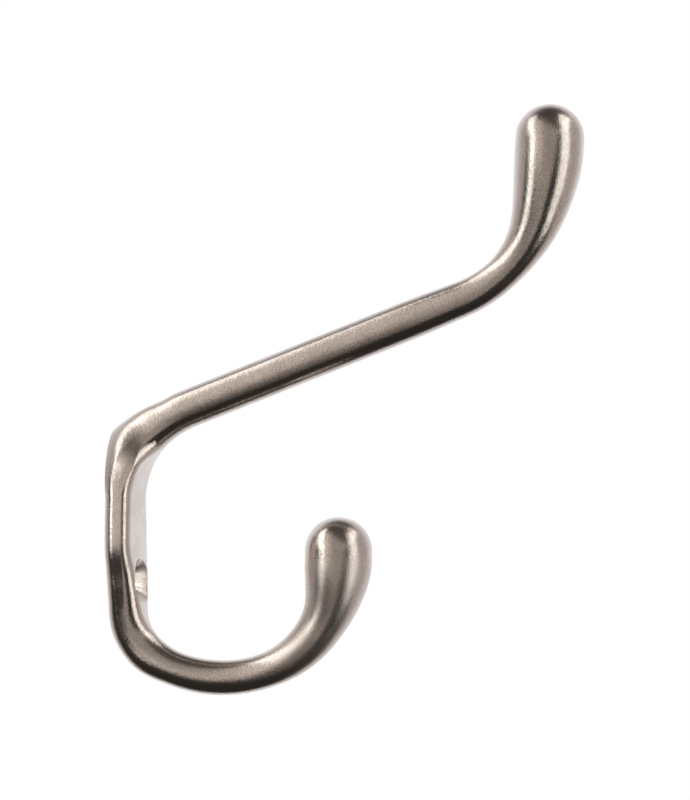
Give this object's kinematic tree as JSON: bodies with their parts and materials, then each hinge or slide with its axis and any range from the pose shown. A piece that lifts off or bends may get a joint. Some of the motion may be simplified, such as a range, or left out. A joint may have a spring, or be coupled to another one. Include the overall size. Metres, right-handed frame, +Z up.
{
  "type": "garment hook",
  "caption": "Cast metal garment hook with a long rising upper arm, a lower J hook, ball-ended knobs and a flat-backed wall plate with a countersunk screw hole.",
  "frame": {"origin": "centre of the screw hole where it meets the wall", "axes": "+X away from the wall along the screw hole, +Z up, +Y across the plate"},
  "size_m": [0.094, 0.0148, 0.1141],
  "materials": {
    "satin_nickel": "satin nickel plate on a zinc alloy casting, warm grey, with fine cast grain"
  },
  "bodies": {
    "root": {"garment_hook": "satin_nickel"}
  },
  "joints": []
}
